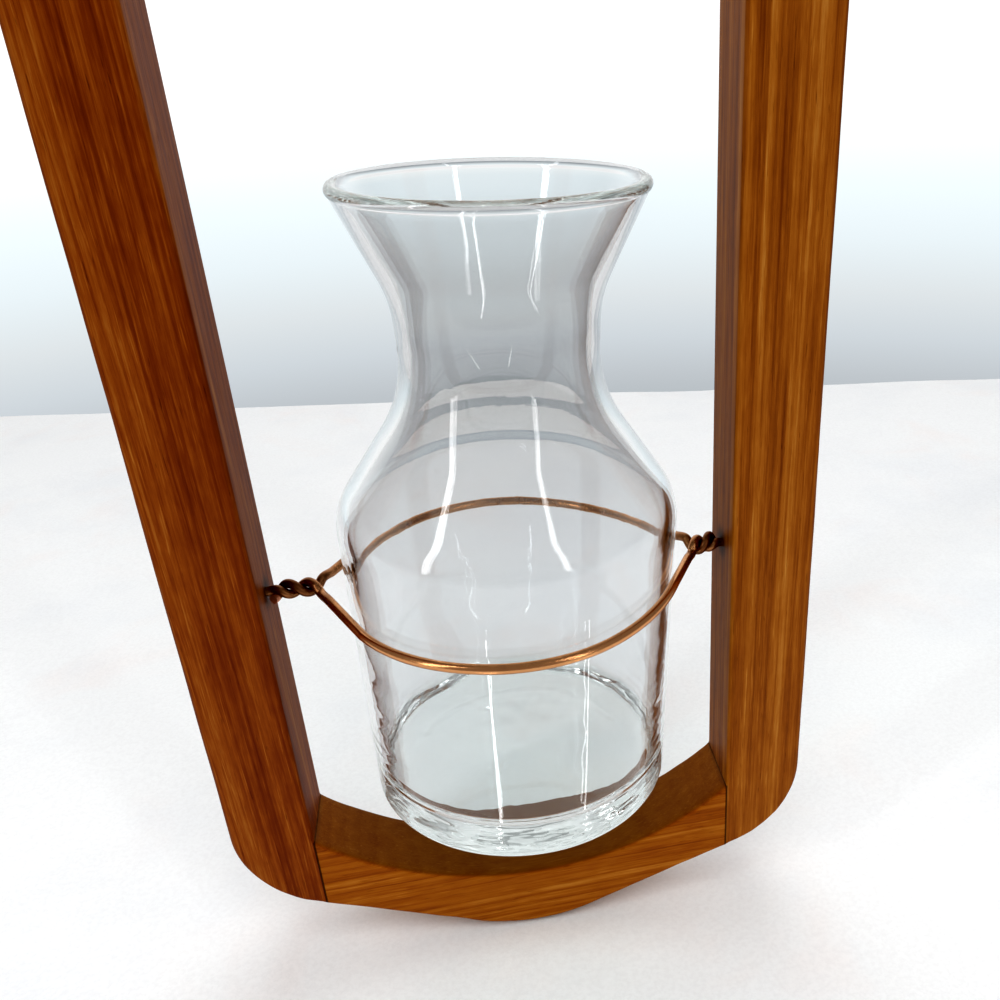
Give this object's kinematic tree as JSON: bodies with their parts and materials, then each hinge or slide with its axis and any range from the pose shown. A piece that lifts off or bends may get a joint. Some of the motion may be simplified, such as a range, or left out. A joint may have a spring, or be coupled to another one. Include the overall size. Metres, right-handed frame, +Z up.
{
  "type": "propagation vase",
  "caption": "Glass propagation vase held by a twisted wire ring that swings between the posts of a tall hanging wooden frame.",
  "frame": {"origin": "middle of the upper mouth of the hanging hole, on top of the frame", "axes": "+Z up along the hanging hole, +X to the right seen from the front, +Y to the back"},
  "size_m": [0.134, 0.074, 0.3309],
  "materials": {
    "left_wood": "reddish oiled hardwood, straight grain",
    "right_wood": "amber oiled hardwood, straight grain",
    "rail_wood": "brown oiled hardwood, straight grain",
    "dowel_wood": "plain",
    "copper": "bare copper wire, partly tarnished",
    "glass": "clear pressed glass"
  },
  "bodies": {
    "frame": {"left_post": "left_wood", "right_post": "right_wood", "bottom_rail": "rail_wood", "top_rail": "rail_wood", "dowel_lower_left_front": "dowel_wood", "dowel_lower_left_back": "dowel_wood", "dowel_lower_right_front": "dowel_wood", "dowel_lower_right_back": "dowel_wood", "dowel_upper_left_front": "dowel_wood", "dowel_upper_left_back": "dowel_wood", "dowel_upper_right_front": "dowel_wood", "dowel_upper_right_back": "dowel_wood"},
    "ring": {"front_wire": "copper", "back_wire": "copper"},
    "vase": {"glass_vase": "glass"}
  },
  "joints": [
    {"name": "ring_swing", "type": "hinge", "parent": "frame", "child": "ring", "pos_m": [0, 0, -0.23336], "axis": [1, 0, 0], "range_deg": [-45, 45]},
    {"name": "vase_lift", "type": "slide", "parent": "ring", "child": "vase", "axis": [0.0314, 0, 0.9995], "range_m": [0, 0.12]}
  ]
}
